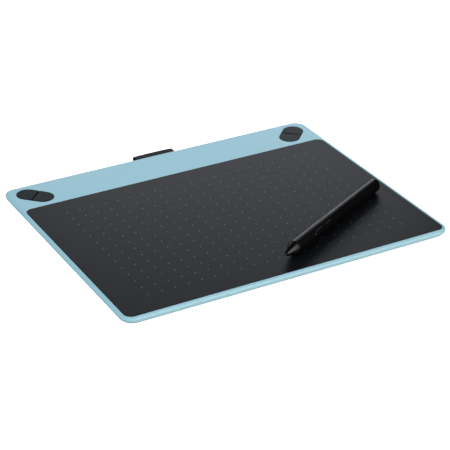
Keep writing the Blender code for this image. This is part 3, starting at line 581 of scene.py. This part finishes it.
def carve(obj, cutters):
    """Cut meshes out of an object, and leave the result in its own mesh."""
    helpers = []
    for number, mesh in enumerate(cutters):
        helper = add_piece(f"cut_{number}", mesh)
        helper.matrix_world = obj.matrix_world
        modifier = obj.modifiers.new(helper.name, "BOOLEAN")
        modifier.object = helper
        modifier.operation = "DIFFERENCE"
        helpers.append(helper)
    settle(obj)
    for helper in helpers:
        bpy.data.objects.remove(helper)


def settle(obj):
    """Apply an object's modifiers."""
    bpy.context.view_layer.update()
    graph = bpy.context.evaluated_depsgraph_get()
    mesh = bpy.data.meshes.new_from_object(obj.evaluated_get(graph))
    old, name = obj.data, obj.data.name
    obj.modifiers.clear()
    obj.data = mesh
    bpy.data.meshes.remove(old)
    mesh.name = name


def smooth(obj, angle=32):
    """Shade smooth, with edges sharper than the angle kept sharp."""
    obj.data.shade_smooth()
    obj.data.set_sharp_from_angle(angle=math.radians(angle))
    modifier = obj.modifiers.new("weighted_normal", "WEIGHTED_NORMAL")
    modifier.keep_sharp = True
    settle(obj)


def place(obj, slot_name, body, *nodes):
    """Put a finished piece on its body, in place of the CAD nodes it stands for; the slot name it is given is not
    used.
    """
    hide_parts(*nodes)
    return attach(obj, body)


# ------------------------------------------------------------------ case
def side_inset(z):
    """How far the side has curved in at a height, from nothing at the waist."""
    drop = (WAIST_Z - z) / (WAIST_Z - BASE_Z)
    return UNDERCUT * (1 - math.sqrt(max(0.0, 1 - drop * drop)))


def case_ring(inset, z, radius):
    return rounded_outline(HALF_WIDTH - inset, HALF_DEPTH - inset, radius), z


def side_rings(low, high, count, wall=0.0):
    rings = []
    for i in range(count + 1):
        z = low + (high - low) * i / count
        inset = side_inset(z)
        radius = CORNER_RADIUS - UNDERCUT_CORNER_SHARE * inset - wall
        rings.append(case_ring(inset + wall, z, radius))
    return rings


def rim_rings(count):
    rings = []
    for i in range(1, count + 1):
        turn = math.radians(90) * i / count
        inset = RIM_WIDTH * (1 - math.cos(turn))
        z = WAIST_Z + (TOP_Z - WAIST_Z) * math.sin(turn)
        rings.append(case_ring(inset, z, CORNER_RADIUS - inset))
    return rings


def flared_cutter(name, outline_at, low, high, flare):
    """A cutter for an opening with a small rounded edge; outline_at gives its outline grown."""
    rings = [(outline_at(0.0), low), (outline_at(0.0), high - flare)]
    for i in range(1, 4):
        turn = math.radians(90) * i / 3
        z = high - flare + flare * math.sin(turn)
        rings.append((outline_at(flare * (1 - math.cos(turn))), z))
    rings.append((outline_at(flare + CUT_ABOVE), high + CUT_ABOVE))
    return loft(name, rings)


def key_sides():
    """Each pair of keys: its side, its centre and the angle that its rear key points at."""
    return (("left", (-KEY_CENTRE[0], KEY_CENTRE[1]), math.radians(180) - KEY_ANGLE),
            ("right", KEY_CENTRE, KEY_ANGLE))


def build_case_shell(materials):
    """The top case, built about its own centre with all its openings, then moved to CASE_Y."""
    rings = side_rings(PARTING_Z + FIT_GAP / 2, WAIST_Z, 16) + rim_rings(12)
    shell = add_piece("case_shell", loft("case_shell", rings), materials["blue_case"])
    cutters = [loft("hollow", side_rings(PARTING_Z - FIT_GAP, DECK_UNDER_Z, 8, wall=WALL))]
    centre = (0.0, (SHEET_LOW.y + SHEET_HIGH.y) / 2 - CASE_Y)
    half_x = (SHEET_HIGH.x - SHEET_LOW.x) / 2
    half_y = (SHEET_HIGH.y - SHEET_LOW.y) / 2

    def seat(grow):
        gap = SEAT_GAP + grow
        return rounded_outline(half_x + gap, half_y + gap, SHEET_RADIUS + gap, centre)

    cutters.append(flared_cutter("seat", seat, SHEET_LOW.z - FIT_GAP, TOP_Z, SEAT_FLARE))
    for side, middle, angle in key_sides():
        def opening(grow, middle=middle, angle=angle):
            radius = KEY_RADIUS + FIT_GAP + grow
            return rounded_outline(KEY_SPREAD + radius, radius, radius, middle, angle)

        cutters.append(flared_cutter(f"opening_{side}", opening, DECK_UNDER_Z - CUT_BELOW, TOP_Z,
                                     KEY_OPENING_FLARE))
    slot = LOOP_WIDTH / 2 + OPENING_GAP
    socket = USB_HALF_WIDTH + OPENING_GAP
    cutters.append(box("ribbon_slot", (-slot, RIBBON_SLOT_START_Y, PARTING_Z - CUT_BELOW),
                       (slot, OUTSIDE_Y, LOOP_HIGH_Z + FIT_GAP)))
    cutters.append(box("socket", (SOCKET_START_X, USB_Y - socket, SOCKET_LOW_Z),
                       (OUTSIDE_X, USB_Y + socket, SOCKET_HIGH_Z)))
    cutters.append(box("switch_slot", (SWITCH_SLOT_LEFT_X, SWITCH_SLOT_START_Y, SWITCH_SLOT_LOW_Z),
                       (SWITCH_SLOT_RIGHT_X, OUTSIDE_Y, SWITCH_SLOT_HIGH_Z)))
    carve(shell, cutters)
    shell.data.transform(Matrix.Translation((0.0, CASE_Y, 0.0)))
    smooth(shell)
    place(shell, "blue_case", "case", "top_case")


def build_sheet(materials):
    centre = ((SHEET_LOW.x + SHEET_HIGH.x) / 2, (SHEET_LOW.y + SHEET_HIGH.y) / 2)
    half_x = (SHEET_HIGH.x - SHEET_LOW.x) / 2
    half_y = (SHEET_HIGH.y - SHEET_LOW.y) / 2
    rings = [(rounded_outline(half_x, half_y, SHEET_RADIUS, centre), SHEET_LOW.z)]
    for i in range(4):
        turn = math.radians(90) * i / 3
        inset = SHEET_EDGE * (1 - math.cos(turn))
        outline = rounded_outline(half_x - inset, half_y - inset, SHEET_RADIUS - inset, centre)
        rings.append((outline, SHEET_HIGH.z - SHEET_EDGE + SHEET_EDGE * math.sin(turn)))
    sheet = add_piece("drawing_surface", loft("drawing_surface", rings), materials["dark_sheet"])
    smooth(sheet)
    place(sheet, "dark_sheet", "case", "drawing_sheet")


# ------------------------------------------------------------------ keys
def half_capsule(radius, flat):
    """One key's outline: round at its outer end, and flat where it faces its neighbour."""
    return arc((KEY_SPREAD, 0.0), radius, -90, 90, 40) + [(flat, radius), (flat, -radius)]


def build_keys(materials):
    edge = KEY_EDGE
    for side, centre, angle in key_sides():
        middle = (centre[0], centre[1] + CASE_Y)
        for end, turn in (("rear", angle), ("front", angle + math.pi)):
            name = f"key_{side}_{end}"
            skirt = half_capsule(KEY_RADIUS, KEY_SLIT / 2)
            rings = [(turned_points(skirt, middle, turn), KEY_UNDER_Z)]
            for i in range(6):
                bend = math.radians(90) * i / 5
                inset = edge * (1 - math.cos(bend))
                outline = half_capsule(KEY_RADIUS - inset, KEY_SLIT / 2 + inset)
                rings.append((turned_points(outline, middle, turn),
                              TOP_Z + KEY_PROUD - edge + edge * math.sin(bend)))
            key = add_piece(f"{name}_cap", loft(name, rings), materials["key_grey"])
            smooth(key)
            place(key, "key_grey", name, name)


# ------------------------------------------------------------------ ribbon loop
def ribbon_path():
    """The ribbon's middle line in (y, z), from the bar inside, round the loop and back."""
    middle = (LOOP_LOW_Z + LOOP_HIGH_Z) / 2
    radius = (LOOP_HIGH_Z - LOOP_LOW_Z) / 2 - RIBBON_THICKNESS / 2
    end = HALF_DEPTH + LOOP_OUT - radius - RIBBON_THICKNESS / 2
    half = (RIBBON_THICKNESS + RIBBON_PLY_GAP) / 2
    together = RIBBON_SPLIT_Y - RIBBON_START_Y
    upper = [(RIBBON_START_Y + together * i / 6, middle + half) for i in range(7)]
    for i in range(1, 7):
        share = i / 6
        ease = share * share * (3 - 2 * share)
        upper.append((RIBBON_SPLIT_Y + (RIBBON_OPEN_Y - RIBBON_SPLIT_Y) * share,
                      middle + half + (radius - half) * ease))
    upper += [(RIBBON_OPEN_Y + (end - RIBBON_OPEN_Y) * i / 8, middle + radius)
              for i in range(1, 8)]
    bend = arc((end, middle), radius, 90, -90, 18)
    lower = [(y, 2 * middle - z) for y, z in reversed(upper)]
    return upper + bend + lower


def build_ribbon(materials):
    """The doubled ribbon as one thick sheet, with its flat length and width as its UVs."""
    path = ribbon_path()
    across = [LOOP_WIDTH * (i / 30 - 0.5) for i in range(31)]
    bm = bmesh.new()
    uv_layer = bm.loops.layers.uv.new("UVMap")
    rows, lengths = [], [0.0]
    for first, second in zip(path, path[1:]):
        lengths.append(lengths[-1] + math.dist(first, second))
    for y, z in path:
        out = max(0.0, (y - LOOP_DRAWN_IN_START_Y) / LOOP_DRAWN_IN_LENGTH)
        row = []
        for x in across:
            pull = LOOP_CORNER_PULL * out * (2 * x / LOOP_WIDTH) ** 4
            row.append(bm.verts.new((x * (1 - LOOP_NARROWING * out * out), y + CASE_Y - pull, z)))
        rows.append(row)
    for i in range(len(rows) - 1):
        for j in range(len(across) - 1):
            corners = ((i, j), (i, j + 1), (i + 1, j + 1), (i + 1, j))
            face = bm.faces.new([rows[row][column] for row, column in corners])
            for loop, (row, column) in zip(face.loops, corners):
                loop[uv_layer].uv = (across[column], lengths[row])
    bmesh.ops.recalc_face_normals(bm, faces=bm.faces)
    ribbon = add_piece("ribbon_loop", mesh_from(bm, "ribbon_loop"), materials["ribbon_black"])
    solid = ribbon.modifiers.new("thickness", "SOLIDIFY")
    solid.thickness = RIBBON_THICKNESS - RIBBON_SHRINK
    solid.offset = 0.0
    settle(ribbon)
    smooth(ribbon, 50)
    place(ribbon, "ribbon_black", "loop", "pen_loop")


# ------------------------------------------------------------------ pen
def pen_matrix():
    """The pen's frame: origin at the nib's tip, +Z to the tail, +X out through the switch."""
    along = Vector(JOINTS["nib_press"]["axis"]).normalized()
    across = Vector(JOINTS["side_switch_rock"]["axis"]).normalized()
    facing = across.cross(along).normalized()
    across = along.cross(facing)
    pivot = Vector(JOINTS["side_switch_rock"]["pos_m"])
    tip = pivot - facing * ROCKER_PIVOT - along * ROCKER_CENTRE
    turn = Matrix((facing, across, along)).transposed().to_4x4()
    return Matrix.Translation(tip) @ turn


def barrel_radius(t):
    """The barrel's radius at a distance from the tip: widest at the grip, then tapering."""
    if t < PEN_GRIP_AT:
        share = (PEN_GRIP_AT - t) / (PEN_GRIP_AT - PEN_CONE_END)
        return PEN_GRIP_RADIUS - PEN_GRIP_WAIST * share * share
    share = (t - PEN_GRIP_AT) / (PEN_TAIL_AT - PEN_GRIP_AT)
    return PEN_GRIP_RADIUS + (PEN_TAIL_RADIUS - PEN_GRIP_RADIUS) * share ** PEN_TAPER_CURVE


def rocker_outline(grow):
    return rounded_outline(ROCKER_LENGTH / 2 + grow, ROCKER_WIDTH / 2 + grow,
                           ROCKER_WIDTH / 2 + grow, steps=10)


def rocker_prism(name, grow, low, high):
    """The switch's outline pushed out along the pen frame's +X."""
    mesh = loft(name, [(rocker_outline(grow), low), (rocker_outline(grow), high)])
    mesh.transform(Matrix(((0, 0, 1, 0), (0, -1, 0, 0), (1, 0, 0, ROCKER_CENTRE), (0, 0, 0, 1))))
    return mesh


def build_barrel(place_pen, material):
    start, stop, edge = PEN_CONE_END + FIT_GAP, PEN_TAIL_AT - FIT_GAP / 2, PEN_BARREL_EDGE
    stations = [start + edge + (stop - start - edge) * i / 40 for i in range(41)]
    profile = [(barrel_radius(t), t) for t in reversed(stations)]
    shoulder = edge * 0.3
    profile += [(barrel_radius(start) - shoulder, start + shoulder),
                (barrel_radius(start) - edge, start), (PEN_BORE, start), (PEN_BORE, stop)]
    barrel = add_piece("pen_barrel_shell", lathe("pen_barrel_shell", profile), material)
    carve(barrel, [rocker_prism("slot", FIT_GAP, ROCKER_SLOT_LOW, ROCKER_SLOT_HIGH)])
    barrel.data.transform(place_pen)
    smooth(barrel)
    place(barrel, "pen_black", "pen", "pen_barrel")


def build_cone(place_pen, material):
    base = barrel_radius(PEN_CONE_END) - PEN_CONE_STEP
    spigot, edge = PEN_BORE - FIT_GAP, PEN_CONE_BASE_EDGE
    profile = [(spigot, PEN_SPIGOT_END), (spigot, PEN_CONE_END + edge),
               (base - 2 * edge, PEN_CONE_END + edge), (base, PEN_CONE_END - edge)]
    for i in range(1, 25):
        share = i / 24
        radius = base + (PEN_CONE_TIP_RADIUS - base) * share ** PEN_CONE_CURVE
        profile.append((radius, PEN_CONE_END + (PEN_CONE_START - PEN_CONE_END) * share))
    profile += [(PEN_CONE_TIP_RADIUS - PEN_CONE_LIP, PEN_CONE_START - PEN_CONE_LIP),
                (PEN_CONE_BORE, PEN_CONE_START - PEN_CONE_LIP / 3),
                (PEN_CONE_BORE, PEN_CONE_BORE_END),
                (PEN_CONE_CHAMBER_RADIUS, PEN_CONE_CHAMBER_START),
                (PEN_CONE_CHAMBER_RADIUS, PEN_SPIGOT_END)]
    cone = add_piece("pen_cone_shell", lathe("pen_cone_shell", profile), material)
    cone.data.transform(place_pen)
    smooth(cone)
    place(cone, "pen_black", "pen", "pen_cone")


def build_end_cap(place_pen, material):
    flat = PEN_TAIL_RADIUS - PEN_TAIL_ROUND
    corner = (flat, PEN_LENGTH - PEN_TAIL_DOME - PEN_TAIL_ROUND)
    profile = [(flat * i / 8, PEN_LENGTH - PEN_TAIL_DOME * (i / 8) ** 2) for i in range(8)]
    profile += arc(corner, PEN_TAIL_ROUND, 90, 0, 12)
    spigot_end = PEN_TAIL_AT - PEN_CAP_SPIGOT_LENGTH
    profile += [(PEN_TAIL_RADIUS, PEN_TAIL_AT), (PEN_CAP_SPIGOT_RADIUS, PEN_TAIL_AT),
                (PEN_CAP_SPIGOT_RADIUS, spigot_end), (0.0, spigot_end)]
    cap = add_piece("pen_tail_cap", lathe("pen_tail_cap", profile), material)
    cap.data.transform(place_pen)
    smooth(cap)
    place(cap, "pen_black", "pen", "pen_end_cap")


def build_nib(place_pen, material):
    profile = [(0.0, PEN_NIB_END), (PEN_NIB_RADIUS, PEN_NIB_END), (PEN_NIB_RADIUS, PEN_NIB_ROUND)]
    for i in range(1, 9):
        turn = math.radians(90) * i / 8
        profile.append((PEN_NIB_RADIUS * math.cos(turn), PEN_NIB_ROUND * (1 - math.sin(turn))))
    nib = add_piece("pen_nib_tip", lathe("pen_nib_tip", profile, 32), material)
    nib.data.transform(place_pen)
    smooth(nib)
    place(nib, "nib_black", "nib", "pen_nib")


def build_rocker(place_pen, material):
    """The side switch: a curved strip that stands a little proud, with a dip at its middle."""
    steps_along, steps_across = 48, 14
    bm = bmesh.new()
    grids = []
    for level in ("top", "under"):
        grid = []
        for i in range(steps_along + 1):
            s = 2 * i / steps_along - 1
            row = []
            for j in range(steps_across + 1):
                w = 2 * j / steps_across - 1
                t, across = rocker_point(s, w)
                row.append(bm.verts.new(rocker_height(level, t, across, w)))
            grid.append(row)
        grids.append(grid)
    for grid, flip in zip(grids, (False, True)):
        for i in range(steps_along):
            for j in range(steps_across):
                corners = [grid[i][j], grid[i + 1][j], grid[i + 1][j + 1], grid[i][j + 1]]
                bm.faces.new(reversed(corners) if flip else corners)
    top, under = grids
    border = [(i, 0) for i in range(steps_along)]
    border += [(steps_along, j) for j in range(steps_across)]
    border += [(i, steps_across) for i in range(steps_along, 0, -1)]
    border += [(0, j) for j in range(steps_across, 0, -1)]
    for (i, j), (k, m) in zip(border, border[1:] + border[:1]):
        bm.faces.new((top[i][j], under[i][j], under[k][m], top[k][m]))
    bmesh.ops.remove_doubles(bm, verts=bm.verts, dist=SAME_PLACE)
    bmesh.ops.recalc_face_normals(bm, faces=bm.faces)
    rocker = add_piece("side_switch_rocker", mesh_from(bm, "side_switch_rocker"), material)
    rocker.data.transform(place_pen)
    smooth(rocker, 50)
    place(rocker, "pen_black", "side_switch", "side_switch")


def rocker_point(s, w):
    """Map a square's point to the capsule outline: (distance from the tip, across)."""
    half_length, half_width = ROCKER_LENGTH / 2, ROCKER_WIDTH / 2
    straight = half_length - half_width
    round_share = half_width / half_length
    if abs(s) <= 1 - round_share:
        return ROCKER_CENTRE + s / (1 - round_share) * straight, w * half_width
    depth = (abs(s) - (1 - round_share)) / round_share
    width = math.sqrt(max(0.0, 1 - depth * depth))
    return ROCKER_CENTRE + math.copysign(straight + depth * half_width, s), w * half_width * width


def rocker_height(level, t, across, w):
    """A point of the rocker in the pen frame, on its rounded top or its underside."""
    if level == "under":
        return math.sqrt(ROCKER_UNDER_RADIUS ** 2 - across ** 2), across, t
    edge_distance = ROCKER_LENGTH / 2 - abs(t - ROCKER_CENTRE)
    if edge_distance > ROCKER_WIDTH / 2:
        edge_distance = min(edge_distance, ROCKER_WIDTH / 2 * (1 - abs(w)))
    drop = 0.0
    if edge_distance < ROCKER_ROUNDING:
        share = 1 - max(0.0, edge_distance) / ROCKER_ROUNDING
        fall = 1 - math.sqrt(max(0.0, 1 - share * share))
        drop = ROCKER_ROUNDING * fall * ROCKER_ROUNDING_SHARE
    dip = ROCKER_DIP * math.exp(-((t - ROCKER_CENTRE) / ROCKER_DIP_REACH) ** 2)
    radius = PEN_GRIP_RADIUS + ROCKER_PROUD - drop - dip
    return math.sqrt(radius ** 2 - across ** 2), across, t


def build_pen(materials):
    place_pen = pen_matrix()
    build_barrel(place_pen, materials["pen_black"])
    build_cone(place_pen, materials["pen_black"])
    build_end_cap(place_pen, materials["pen_black"])
    build_nib(place_pen, materials["nib_black"])
    build_rocker(place_pen, materials["pen_black"])


# ------------------------------------------------------------------ floor
def build_floor():
    """A pale floor that the camera sees, and that neither lights the part nor shows in it."""
    surface = Surface("floor_pale")
    surface.colour(surface.blend(surface.noise(3.0), (0.48, 0.48, 0.48), (0.50, 0.50, 0.50)))
    surface.shader.inputs["Roughness"].default_value = 0.9
    surface.shader.inputs["Specular IOR Level"].default_value = 0.0
    surface.shader.inputs["Emission Color"].default_value = (1.0, 1.0, 1.0, 1.0)
    surface.shader.inputs["Emission Strength"].default_value = 1.1
    reach = FLOOR_HALF_WIDTH
    mesh = box("floor", (-reach, -reach, FLOOR_UNDER_Z), (reach, reach, FLOOR_TOP_Z))
    floor = add_piece("floor", mesh, surface.material)
    floor.visible_glossy = False
    floor.visible_diffuse = False


place_camera()
light_scene()
MATERIALS = make_materials()
dress_cad_nodes(MATERIALS)
build_case_shell(MATERIALS)
build_sheet(MATERIALS)
build_keys(MATERIALS)
build_ribbon(MATERIALS)
build_pen(MATERIALS)
build_floor()
